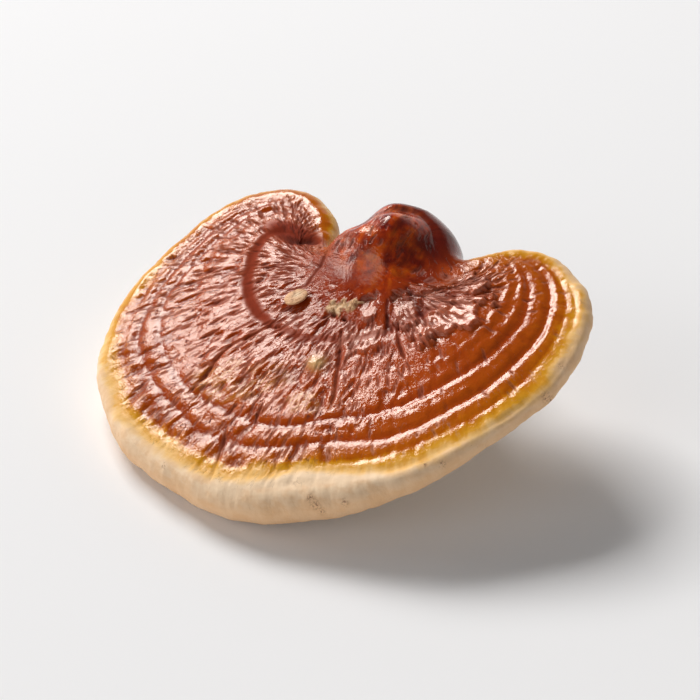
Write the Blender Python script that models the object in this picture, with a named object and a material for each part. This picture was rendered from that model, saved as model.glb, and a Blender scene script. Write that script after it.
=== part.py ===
"""Reishi fruiting body: a kidney-shaped bracket with a short side stem, cut flat.

The cap is a loft. Closed sections run round the growth centre, from the crown
of the neck out to the rounded margin, back along the pore side and down the
stem to the cut. The cap is drawn in its own plane (x across the lobes, y back
to the stem, z up out of the skin) and then leans on its front margin, so that
the margin and the cut end of the stem both rest on z = 0.
"""

import math

import bmesh
import bpy
import numpy as np
from mathutils import Matrix, Vector

for existing in list(bpy.data.objects):
    bpy.data.objects.remove(existing, do_unlink=True)

MM = 0.001

# ---------------------------------------------------------------- dimensions
# All lengths in millimetres, angles in degrees.
CAP_LEAN = 18.0            # lean of the cap plane out of level
LEAN_TOWARDS = -105.0      # bearing of its low side: the front, a little left
CAP_LIFT = 29.05           # height of the cap plane's origin over the floor
CENTRE_SHIFT = (1.3, 0.6)  # puts the middle of the whole thing over the origin

LEFT_FOCUS = (-35.0, 28.0)   # the growth lines curl round these two points
RIGHT_FOCUS = (36.0, 28.0)
FOCUS_SAG = 7.0              # the line between them bows forward by this
CROWN = (3.0, 22.0)          # where they start
CROWN_LONG, CROWN_WIDE = 13.0, 5.0   # half sizes of the first, oval growth line
CROWN_SHARE = 0.18           # its place on the way from crown to margin
# stem bearing of a rib, and where the same rib leaves that oval
CROWN_TURN = ((198, 212, 233, 270, 321, 352, 375, 448, 558), (148, 184, 216, 270, 330, 362, 390, 448, 508))

RIM_OUT = 6.0              # how far the rounded margin stands out of the skin
BACK_ROLL = 7.0            # the same round the back of the stem
CLEFT_ROLL = 0.45          # share of the roll left in the cleft beside the neck
RIM_UPPER = 5.5            # skin down to the widest line of the margin
RIM_LOWER = 6.5            # widest line down to the pore side
PORE_ROLL = 5.0            # width of the roll under the margin
THIN_SHARE = 0.38          # the right lobe is this much thinner
REST_ARCH = 1.3            # the margin arches between its two resting points
PORE_PLANE = -11.5         # pore side below the cap plane

SKIN_CROWNING = 3.5        # rise of the skin from margin to centre
NECK_RISE, NECK_REACH = 12.8, 34.0
KNOB_AT = (4.0, 40.0)      # middle of the stem
# mound in front of the stem, shoulder to the left of it, and the collar that
# stands up behind the mound in part of a ring
MOUND_RISE, MOUND_AT, MOUND_RADIUS = 4.4, (0.3, 34.0), 14.2
SHOULDER_RISE, SHOULDER_AT, SHOULDER_SPREAD = 4.7, (-11.6, 31.4), 6.2
COLLAR_RISE, COLLAR_AT, COLLAR_RADIUS, COLLAR_SPREAD = 5.0, (11.3, 37.8), 15.3, 2.1
# swellings of the right lobe: x, y, rise, spread
PILLOWS = ((38.0, 19.0, 3.0, 16.0), (33.0, 46.0, 1.6, 11.0))

STEM_RADIUS = 13.8
STEM_FLARE = 0.6           # more at the cut
STEM_FILLET = 9.0          # pore side into stem

CHIP_LENGTH, CHIP_WIDTH, CHIP_HEIGHT = 7.4, 5.6, 2.7
CHIP_AT, CHIP_BEARING = (-14.8, 9.4), 57.0
GAP = 0.35                 # between the chip and the skin

COLUMNS = 80               # ribs round the cap
SKIN_ROWS, ROLL_ROWS, PORE_ROWS, FILLET_ROWS, STEM_ROWS = 10, 4, 7, 3, 3

# Margin, seen from above: x, y, then the place on the line between the two
# foci where its rib starts (-1 left, 1 right), then the bearing at which that
# rib reaches the stem.
MARGIN = (
    # left lobe, from the cleft beside the neck
    (-19.5, 34.0, -0.78, 198), (-23.3, 40.2, -0.96, 201),
    (-27.5, 46.0, -1.0, 204), (-34.8, 51.4, -1.0, 206),
    (-45.0, 54.0, -1.0, 208), (-57.5, 50.0, -1.0, 210),
    (-67.5, 39.0, -1.0, 212), (-73.0, 22.0, -0.97, 215),
    (-74.5, 2.0, -0.90, 220), (-72.0, -17.0, -0.78, 226),
    # front
    (-65.0, -31.5, -0.66, 233), (-53.0, -44.5, -0.50, 241),
    (-38.0, -53.5, -0.34, 251), (-21.0, -58.5, -0.18, 261),
    (-4.0, -60.5, -0.04, 270), (10.5, -59.0, 0.08, 280),
    (25.0, -52.0, 0.22, 291), (39.5, -43.5, 0.38, 302),
    (52.0, -31.0, 0.55, 312), (61.0, -16.5, 0.72, 321),
    # right lobe
    (67.5, -2.0, 0.86, 329), (71.0, 12.0, 0.95, 336),
    (71.0, 26.5, 1.0, 342), (66.5, 41.0, 1.0, 347),
    (55.5, 52.0, 1.0, 352), (43.0, 56.5, 1.0, 356),
    (32.5, 53.5, 1.0, 361), (26.0, 47.5, 0.95, 366),
    (22.0, 44.5, 0.80, 375),
    # round the back of the stem to the cleft
    (18.0, 49.0, 0.55, 396), (11.5, 53.5, 0.35, 422),
    (4.5, 55.5, 0.18, 448), (-2.5, 53.0, 0.02, 476),
    (-8.0, 47.5, -0.15, 506), (-10.5, 42.0, -0.32, 531),
    (-14.5, 36.0, -0.62, 550),
)
CLEFT_AT = (-19.5, 34.0)
BACK_CENTRE, BACK_INNER, BACK_OUTER = (4.5, 41.0), 15.5, 20.5


# ------------------------------------------------------------------- helpers
def ease(low, high, value):
    """0 below low, 1 above high, smooth between (either may be the larger)."""
    t = np.clip((value - low) / (high - low), 0.0, 1.0)
    return t * t * (3 - 2 * t)


def closed_spline(rows, samples):
    """A closed cubic spline through the rows; the last column turns once."""
    points = np.array(rows, float)
    count = len(points)
    steps = np.roll(points[:, :2], -1, axis=0) - points[:, :2]
    knots = np.concatenate([[0], np.cumsum(np.sqrt(np.hypot(*steps.T)))])
    total = knots[-1]
    points[:, 3] -= 360 * knots[:-1] / total
    span = np.diff(knots)
    system = np.zeros((count, count))
    right = np.zeros_like(points)
    for i in range(count):
        before, after = span[i - 1], span[i]
        system[i, i - 1] += after
        system[i, i] += 2 * (before + after)
        system[i, (i + 1) % count] += before
        right[i] = 3 * (
            after * (points[i] - points[i - 1]) / before
            + before * (points[(i + 1) % count] - points[i]) / after
        )
    slope = np.linalg.solve(system, right)
    at = np.linspace(0, total, samples, endpoint=False)
    index = np.clip(np.searchsorted(knots, at, side="right") - 1, 0, count - 1)
    h = span[index][:, None]
    t = ((at - knots[index]) / span[index])[:, None]
    after = (index + 1) % count
    curve = (
        (2 * t**3 - 3 * t**2 + 1) * points[index]
        + (t**3 - 2 * t**2 + t) * h * slope[index]
        + (3 * t**2 - 2 * t**3) * points[after]
        + (t**3 - t**2) * h * slope[after]
    )
    curve[:, 3] += 360 * at / total
    return curve


def margin_line(columns):
    """Margin points, outward directions, rib origins and stem bearings."""
    fine = closed_spline(MARGIN, 6000)
    fine = np.vstack([fine, fine[:1] + (0, 0, 0, 360)])
    run = np.concatenate([[0], np.cumsum(np.hypot(*np.diff(fine[:, :2], axis=0).T))])
    at = np.linspace(0, run[-1], columns, endpoint=False)
    x, y, origin, bearing = (np.interp(at, run, fine[:, i]) for i in range(4))
    edge = np.column_stack([x, y])
    along = np.roll(edge, -1, axis=0) - np.roll(edge, 1, axis=0)
    along /= np.linalg.norm(along, axis=1)[:, None]
    outward = np.column_stack([along[:, 1], -along[:, 0]])
    origin = np.clip(origin, -1, 1)[:, None]
    root = np.array(LEFT_FOCUS) * (1 - origin) / 2 + np.array(RIGHT_FOCUS) * (1 + origin) / 2
    root[:, 1:] -= FOCUS_SAG * (1 - origin**2)
    return edge, outward, root, np.radians(bearing)


def skin_height(xy, growth):
    """Height of the skin over the cap plane."""
    x, y = xy[..., 0], xy[..., 1]
    from_knob = np.hypot(np.hypot(x - KNOB_AT[0], y - KNOB_AT[1]), 3.2)
    height = SKIN_CROWNING * (1 - growth**2.4)
    height = height + NECK_RISE * np.clip(1 - from_knob / NECK_REACH, 0, 1) ** 1.5
    off = np.hypot(x - MOUND_AT[0], y - MOUND_AT[1]) / MOUND_RADIUS
    height = height + MOUND_RISE * (1 - ease(0.20, 1.25, off))
    off = np.hypot(x - SHOULDER_AT[0], y - SHOULDER_AT[1]) / SHOULDER_SPREAD
    height = height + SHOULDER_RISE * np.exp(-off * off)
    for at_x, at_y, rise, spread in PILLOWS:
        off = np.hypot(x - at_x, y - at_y) / spread
        height = height + rise * np.exp(-off * off)
    x, y = x - COLLAR_AT[0], y - COLLAR_AT[1]
    turn = np.degrees(np.arctan2(y, x)) % 360
    arc = ease(14, 42, np.where(turn > 270, turn - 360, turn)) * ease(185, 130, turn)
    off = (np.hypot(x, y) - COLLAR_RADIUS) / COLLAR_SPREAD
    return height + COLLAR_RISE * np.exp(-off * off) * arc


def rib_point(growth, root, bearing, skin_edge):
    """Points of all ribs at one growth, from the crown (0) to the margin (1)."""
    angle = np.radians(np.interp(np.degrees(bearing), *CROWN_TURN))
    turn = np.column_stack([CROWN_LONG * np.cos(angle), CROWN_WIDE * np.sin(angle)])
    first = np.array(CROWN) + turn
    if growth <= CROWN_SHARE:
        return CROWN + turn * (growth / CROWN_SHARE)
    v = (growth - CROWN_SHARE) / (1 - CROWN_SHARE)
    # lobe ribs swing round the focus, the others run almost straight
    pull = root * 0.5 + (first + (skin_edge - first) * 0.4) * 0.5
    lobe = ease(0.35, 1.0, np.abs(root[:, 0] - 0.5) / 35.5)[:, None]
    pull = pull + (root - pull) * lobe
    return (1 - v) ** 2 * first + 2 * v * (1 - v) * pull + v * v * skin_edge


def lean_matrix():
    bearing = math.radians(LEAN_TOWARDS)
    axis = Vector((-math.sin(bearing), math.cos(bearing), 0))
    return Matrix.Translation((*CENTRE_SHIFT, CAP_LIFT)) @ Matrix.Rotation(math.radians(CAP_LEAN), 4, axis)


LEAN = np.array(lean_matrix())


def placed(points):
    """Cap-plane points (mm) put in their leaning place (mm)."""
    return points @ LEAN[:3, :3].T + LEAN[:3, 3]


def sections(columns):
    """The closed sections of the loft, crown first, cut last."""
    edge, outward, root, bearing = margin_line(columns)
    from_back = np.hypot(edge[:, 0] - BACK_CENTRE[0], edge[:, 1] - BACK_CENTRE[1])
    cap = ease(BACK_INNER, BACK_OUTER, from_back)      # 1 on the cap, 0 behind the stem
    back = 1 - cap
    thin = 1 - THIN_SHARE * ease(30, 62, edge[:, 0])
    roll = RIM_OUT * thin * cap + BACK_ROLL * back
    in_cleft = np.hypot(edge[:, 0] - CLEFT_AT[0], edge[:, 1] - CLEFT_AT[1])
    roll = roll * (CLEFT_ROLL + (1 - CLEFT_ROLL) * ease(1.0, 11.0, in_cleft))
    widest = -RIM_UPPER * thin * cap - 4.5 * back
    arch = REST_ARCH * np.exp(-(((edge[:, 0] + 22) / 9) ** 2)) * ease(20, -20, edge[:, 1])
    lower = (RIM_LOWER * thin - arch) * cap + 5.0 * back
    under = PORE_ROLL * cap + 1.0 * back
    skin_edge = edge - outward * roll[:, None]

    rows = []
    for k in range(1, SKIN_ROWS + 1):
        growth = k / SKIN_ROWS
        xy = rib_point(growth, root, bearing, skin_edge)
        rows.append(placed(np.column_stack([xy, skin_height(xy, growth)])))
    top = skin_height(skin_edge, 1.0)
    for k in range(1, ROLL_ROWS + 1):
        turn = math.pi / 2 * k / ROLL_ROWS
        xy = skin_edge + outward * (roll * math.sin(turn))[:, None]
        rows.append(placed(np.column_stack([xy, widest + (top - widest) * math.cos(turn)])))
    for k in range(1, ROLL_ROWS + 1):
        turn, level = math.pi / 2 * k / ROLL_ROWS, k / ROLL_ROWS
        inward = (1 - math.cos(turn)) * cap + level * back
        down = math.sin(turn) * cap + level * back
        xy = edge - outward * (under * inward)[:, None]
        rows.append(placed(np.column_stack([xy, widest - lower * down])))

    start = rows[-1]
    stem = placed(np.array([[KNOB_AT[0], KNOB_AT[1], -8.0]]))[0]
    degrees = np.degrees(bearing) % 360
    degrees = np.where(degrees < 100, degrees + 360, degrees)
    open_side = ease(204, 240, degrees) * ease(368, 325, degrees)
    fillet = (1.2 + (STEM_FILLET - 1.2) * open_side) * cap + 0.6 * back
    ray = np.column_stack([np.cos(bearing), np.sin(bearing)])
    normal, base = LEAN[:3, 2], placed(np.array([[0, 0, PORE_PLANE]]))[0]
    foot_xy = stem[:2] + ray * (STEM_RADIUS + STEM_FLARE)
    behind = back[:, None]
    turn_xy = stem[:2] + ray * (STEM_RADIUS + fillet)[:, None]
    pore_z = base[2] - ((turn_xy - base[:2]) @ normal[:2]) / normal[2]
    turn_xy += (start[:, :2] * 0.75 + foot_xy * 0.25 - turn_xy) * behind
    turn_z = pore_z * cap + (start[:, 2] - 9.0) * back
    turn = np.column_stack([turn_xy, turn_z])
    pull = placed(np.column_stack([root, np.full(columns, PORE_PLANE)]))
    pull = pull * (1 - behind) + (start + turn) / 2 * behind
    for k in range(1, PORE_ROWS + 1):
        v = k / PORE_ROWS
        rows.append((1 - v) ** 2 * start + 2 * v * (1 - v) * pull + v * v * turn)
    side_xy = stem[:2] + ray * STEM_RADIUS
    side_xy += (start[:, :2] * 0.62 + foot_xy * 0.38 - side_xy) * behind
    side_z = turn_z - fillet - 3.0 * back
    corner = np.column_stack([side_xy, turn_z])
    corner += ((turn + np.column_stack([side_xy, side_z])) / 2 - corner) * behind
    side = np.column_stack([side_xy, side_z])
    for k in range(1, FILLET_ROWS + 1):
        v = k / FILLET_ROWS
        rows.append((1 - v) ** 2 * turn + 2 * v * (1 - v) * corner + v * v * side)
    for k in range(1, STEM_ROWS + 1):
        v = k / STEM_ROWS
        xy = side_xy + (foot_xy - side_xy) * v
        rows.append(np.column_stack([xy, side_z * (1 - v)]))
    return rows


def finish_material(name, colour, roughness, coat=0.0):
    material = bpy.data.materials.new(name)
    material.use_nodes = True
    shader = material.node_tree.nodes["Principled BSDF"]
    shader.inputs["Base Color"].default_value = (*colour, 1)
    shader.inputs["Roughness"].default_value = roughness
    shader.inputs["Metallic"].default_value = 0.0
    shader.inputs["Coat Weight"].default_value = coat
    material.diffuse_color = (*colour, 1)
    return material


def mesh_object(name, bm, collection, material):
    bmesh.ops.recalc_face_normals(bm, faces=bm.faces)
    mesh = bpy.data.meshes.new(name)
    bm.to_mesh(mesh)
    bm.free()
    obj = bpy.data.objects.new(name, mesh)
    collection.objects.link(obj)
    mesh.materials.append(material)
    mesh.shade_smooth()
    mesh.set_sharp_from_angle(angle=math.radians(50))
    return obj


# -------------------------------------------------------------- fruiting body
def fruiting_body(collection, material):
    bm = bmesh.new()
    rings = []
    for row in sections(COLUMNS):
        verts = [bm.verts.new(point * MM) for point in row]
        rings.append([bm.edges.new((verts[i - 1], verts[i])) for i in range(COLUMNS)])
    for upper, lower in zip(rings, rings[1:]):
        bmesh.ops.bridge_loops(bm, edges=upper + lower)
    # The crown closes to a point, the cut is one flat face.
    crown = np.array([[*CROWN, 0.0]])
    crown[0, 2] = skin_height(crown[:, :2], 0.0)[0]
    tip = bm.verts.new(placed(crown)[0] * MM)
    for edge in rings[0]:
        bm.faces.new((*edge.verts, tip))
    bmesh.ops.contextual_create(bm, geom=rings[-1])
    return mesh_object("fruiting_body", bm, collection, material)


# ------------------------------------------------------------------ wood chip
def wood_chip(collection, material):
    bm = bmesh.new()
    bmesh.ops.create_uvsphere(bm, u_segments=18, v_segments=10, radius=0.5)
    for vert in bm.verts:
        x, y, z = vert.co
        x += 0.10 * y * y - 0.02
        y *= 1.0 - 0.22 * x
        vert.co = (x * CHIP_LENGTH * MM, y * CHIP_WIDTH * MM, (z + 0.5) / 2 * CHIP_HEIGHT * MM)
    obj = mesh_object("wood_chip", bm, collection, material)
    # It lies on the slope of the skin, along the rib under it.
    here = np.array([CHIP_AT])
    growth = np.array([0.26])
    step = 2.0
    level = skin_height(here, growth)[0]
    rise_x = (skin_height(here + (step, 0), growth)[0] - level) / step
    rise_y = (skin_height(here + (0, step), growth)[0] - level) / step
    up = Vector((-rise_x, -rise_y, 1)).normalized()
    bearing = math.radians(CHIP_BEARING)
    along = Vector((math.cos(bearing), math.sin(bearing), 0))
    along = (along - up * along.dot(up)).normalized()
    frame = Matrix((along, up.cross(along), up)).transposed().to_4x4()
    seat = Vector((CHIP_AT[0], CHIP_AT[1], level + GAP)) * MM
    lean = lean_matrix()
    lean.translation = Vector(lean.translation) * MM
    obj.matrix_world = lean @ Matrix.Translation(seat) @ frame
    return obj


collection = bpy.data.collections.new("reishi")
bpy.context.scene.collection.children.link(collection)
body = fruiting_body(collection, finish_material("lacquered_skin", (0.26, 0.045, 0.018), 0.22, 0.6))
chip = wood_chip(collection, finish_material("dry_wood", (0.62, 0.38, 0.17), 0.8))
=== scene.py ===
"""Looks of the reishi fruiting body: fine skin relief, lacquer, pale rim, pores."""
import math

import bpy
import numpy as np
from mathutils import Matrix, Vector


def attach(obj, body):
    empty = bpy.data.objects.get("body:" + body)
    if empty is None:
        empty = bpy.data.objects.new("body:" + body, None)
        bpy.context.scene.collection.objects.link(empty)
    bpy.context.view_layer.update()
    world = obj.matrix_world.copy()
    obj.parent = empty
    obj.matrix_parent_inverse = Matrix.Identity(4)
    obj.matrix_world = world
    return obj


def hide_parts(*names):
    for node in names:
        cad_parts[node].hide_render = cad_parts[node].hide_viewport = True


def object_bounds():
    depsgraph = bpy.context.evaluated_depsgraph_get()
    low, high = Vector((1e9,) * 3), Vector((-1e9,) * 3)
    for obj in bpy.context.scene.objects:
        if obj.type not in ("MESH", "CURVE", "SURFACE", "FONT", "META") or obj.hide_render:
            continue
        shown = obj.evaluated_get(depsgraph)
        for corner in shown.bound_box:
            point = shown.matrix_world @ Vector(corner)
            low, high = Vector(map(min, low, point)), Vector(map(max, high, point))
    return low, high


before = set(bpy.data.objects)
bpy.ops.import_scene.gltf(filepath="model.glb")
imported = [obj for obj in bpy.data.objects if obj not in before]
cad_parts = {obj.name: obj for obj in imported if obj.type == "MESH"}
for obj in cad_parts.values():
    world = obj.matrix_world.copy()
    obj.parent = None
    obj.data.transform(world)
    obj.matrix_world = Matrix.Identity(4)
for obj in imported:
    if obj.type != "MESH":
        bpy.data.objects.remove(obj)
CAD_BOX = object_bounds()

MM = 0.001

# ------------------------------------------------------------- the same form
# Millimetres and degrees, in the cap's own plane, as in the solid.
CAP_LEAN, LEAN_TOWARDS, CAP_LIFT = 18.0, -105.0, 29.05
CENTRE_SHIFT = (1.3, 0.6)
LEFT_FOCUS, RIGHT_FOCUS, FOCUS_SAG = (-35.0, 28.0), (36.0, 28.0), 7.0
CROWN, CROWN_LONG, CROWN_WIDE, CROWN_SHARE = (3.0, 22.0), 13.0, 5.0, 0.18
CROWN_TURN = (
    (198, 212, 233, 270, 321, 352, 375, 448, 558),
    (148, 184, 216, 270, 330, 362, 390, 448, 508),
)
RIM_OUT, BACK_ROLL, CLEFT_ROLL = 6.0, 7.0, 0.45
RIM_UPPER, RIM_LOWER, PORE_ROLL = 5.5, 6.5, 5.0
THIN_SHARE, REST_ARCH, PORE_PLANE = 0.38, 1.3, -11.5
SKIN_CROWNING, NECK_RISE, NECK_REACH = 3.5, 12.8, 34.0
KNOB_AT = (4.0, 40.0)
MOUND_RISE, MOUND_AT, MOUND_RADIUS = 4.4, (0.3, 34.0), 14.2
SHOULDER_RISE, SHOULDER_AT, SHOULDER_SPREAD = 4.7, (-11.6, 31.4), 6.2
COLLAR_RISE, COLLAR_AT, COLLAR_RADIUS, COLLAR_SPREAD = 5.0, (11.3, 37.8), 15.3, 2.1
PILLOWS = ((38.0, 19.0, 3.0, 16.0), (33.0, 46.0, 1.6, 11.0))
STEM_RADIUS, STEM_FLARE, STEM_FILLET = 13.8, 0.6, 9.0
CHIP_LENGTH, CHIP_WIDTH, CHIP_HEIGHT = 7.4, 5.6, 2.7
CHIP_AT, CHIP_BEARING, GAP = (-14.8, 9.4), 57.0, 0.35
MARGIN = (
    (-19.5, 34.0, -0.78, 198), (-23.3, 40.2, -0.96, 201),
    (-27.5, 46.0, -1.0, 204), (-34.8, 51.4, -1.0, 206),
    (-45.0, 54.0, -1.0, 208), (-57.5, 50.0, -1.0, 210),
    (-67.5, 39.0, -1.0, 212), (-73.0, 22.0, -0.97, 215),
    (-74.5, 2.0, -0.90, 220), (-72.0, -17.0, -0.78, 226),
    (-65.0, -31.5, -0.66, 233), (-53.0, -44.5, -0.50, 241),
    (-38.0, -53.5, -0.34, 251), (-21.0, -58.5, -0.18, 261),
    (-4.0, -60.5, -0.04, 270), (10.5, -59.0, 0.08, 280),
    (25.0, -52.0, 0.22, 291), (39.5, -43.5, 0.38, 302),
    (52.0, -31.0, 0.55, 312), (61.0, -16.5, 0.72, 321),
    (67.5, -2.0, 0.86, 329), (71.0, 12.0, 0.95, 336),
    (71.0, 26.5, 1.0, 342), (66.5, 41.0, 1.0, 347),
    (55.5, 52.0, 1.0, 352), (43.0, 56.5, 1.0, 356),
    (32.5, 53.5, 1.0, 361), (26.0, 47.5, 0.95, 366),
    (22.0, 44.5, 0.80, 375),
    (18.0, 49.0, 0.55, 396), (11.5, 53.5, 0.35, 422),
    (4.5, 55.5, 0.18, 448), (-2.5, 53.0, 0.02, 476),
    (-8.0, 47.5, -0.15, 506), (-10.5, 42.0, -0.32, 531),
    (-14.5, 36.0, -0.62, 550),
)
CLEFT_AT = (-19.5, 34.0)
BACK_CENTRE, BACK_INNER, BACK_OUTER = (4.5, 41.0), 15.5, 20.5

COLUMNS = 720
SKIN_ROWS, ROLL_ROWS, UNDER_ROWS, PORE_ROWS, FILLET_ROWS, STEM_ROWS = 96, 9, 7, 9, 4, 6


def ease(low, high, value):
    t = np.clip((value - low) / (high - low), 0.0, 1.0)
    return t * t * (3 - 2 * t)


def closed_spline(rows, samples):
    points = np.array(rows, float)
    count = len(points)
    steps = np.roll(points[:, :2], -1, axis=0) - points[:, :2]
    knots = np.concatenate([[0], np.cumsum(np.sqrt(np.hypot(*steps.T)))])
    total = knots[-1]
    points[:, 3] -= 360 * knots[:-1] / total
    span = np.diff(knots)
    system = np.zeros((count, count))
    right = np.zeros_like(points)
    for i in range(count):
        before, after = span[i - 1], span[i]
        system[i, i - 1] += after
        system[i, i] += 2 * (before + after)
        system[i, (i + 1) % count] += before
        right[i] = 3 * (
            after * (points[i] - points[i - 1]) / before
            + before * (points[(i + 1) % count] - points[i]) / after
        )
    slope = np.linalg.solve(system, right)
    at = np.linspace(0, total, samples, endpoint=False)
    index = np.clip(np.searchsorted(knots, at, side="right") - 1, 0, count - 1)
    h = span[index][:, None]
    t = ((at - knots[index]) / span[index])[:, None]
    after = (index + 1) % count
    curve = (
        (2 * t**3 - 3 * t**2 + 1) * points[index]
        + (t**3 - 2 * t**2 + t) * h * slope[index]
        + (3 * t**2 - 2 * t**3) * points[after]
        + (t**3 - t**2) * h * slope[after]
    )
    curve[:, 3] += 360 * at / total
    return curve


def margin_line(columns):
    fine = closed_spline(MARGIN, 6000)
    fine = np.vstack([fine, fine[:1] + (0, 0, 0, 360)])
    run = np.concatenate([[0], np.cumsum(np.hypot(*np.diff(fine[:, :2], axis=0).T))])
    at = np.linspace(0, run[-1], columns, endpoint=False)
    x, y, origin, bearing = (np.interp(at, run, fine[:, i]) for i in range(4))
    edge = np.column_stack([x, y])
    along = np.roll(edge, -1, axis=0) - np.roll(edge, 1, axis=0)
    along /= np.linalg.norm(along, axis=1)[:, None]
    outward = np.column_stack([along[:, 1], -along[:, 0]])
    origin = np.clip(origin, -1, 1)[:, None]
    root = np.array(LEFT_FOCUS) * (1 - origin) / 2 + np.array(RIGHT_FOCUS) * (1 + origin) / 2
    root[:, 1:] -= FOCUS_SAG * (1 - origin**2)
    return edge, outward, root, np.radians(bearing)


def skin_height(xy, growth):
    x, y = xy[..., 0], xy[..., 1]
    from_knob = np.hypot(np.hypot(x - KNOB_AT[0], y - KNOB_AT[1]), 3.2)
    height = SKIN_CROWNING * (1 - growth**2.4)
    height = height + NECK_RISE * np.clip(1 - from_knob / NECK_REACH, 0, 1) ** 1.5
    off = np.hypot(x - MOUND_AT[0], y - MOUND_AT[1]) / MOUND_RADIUS
    height = height + MOUND_RISE * (1 - ease(0.20, 1.25, off))
    off = np.hypot(x - SHOULDER_AT[0], y - SHOULDER_AT[1]) / SHOULDER_SPREAD
    height = height + SHOULDER_RISE * np.exp(-off * off)
    for at_x, at_y, rise, spread in PILLOWS:
        off = np.hypot(x - at_x, y - at_y) / spread
        height = height + rise * np.exp(-off * off)
    x, y = x - COLLAR_AT[0], y - COLLAR_AT[1]
    turn = np.degrees(np.arctan2(y, x)) % 360
    arc = ease(14, 42, np.where(turn > 270, turn - 360, turn)) * ease(185, 130, turn)
    off = (np.hypot(x, y) - COLLAR_RADIUS) / COLLAR_SPREAD
    return height + COLLAR_RISE * np.exp(-off * off) * arc


def rib_point(growth, root, bearing, skin_edge):
    angle = np.radians(np.interp(np.degrees(bearing), *CROWN_TURN))
    turn = np.column_stack([CROWN_LONG * np.cos(angle), CROWN_WIDE * np.sin(angle)])
    first = np.array(CROWN) + turn
    if growth <= CROWN_SHARE:
        return CROWN + turn * (growth / CROWN_SHARE)
    v = (growth - CROWN_SHARE) / (1 - CROWN_SHARE)
    pull = root * 0.5 + (first + (skin_edge - first) * 0.4) * 0.5
    lobe = ease(0.35, 1.0, np.abs(root[:, 0] - 0.5) / 35.5)[:, None]
    pull = pull + (root - pull) * lobe
    return (1 - v) ** 2 * first + 2 * v * (1 - v) * pull + v * v * skin_edge


def lean_matrix():
    bearing = math.radians(LEAN_TOWARDS)
    axis = Vector((-math.sin(bearing), math.cos(bearing), 0))
    return Matrix.Translation((*CENTRE_SHIFT, CAP_LIFT)) @ Matrix.Rotation(math.radians(CAP_LEAN), 4, axis)


LEAN = np.array(lean_matrix())


def placed(points):
    return points @ LEAN[:3, :3].T + LEAN[:3, 3]


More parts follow.
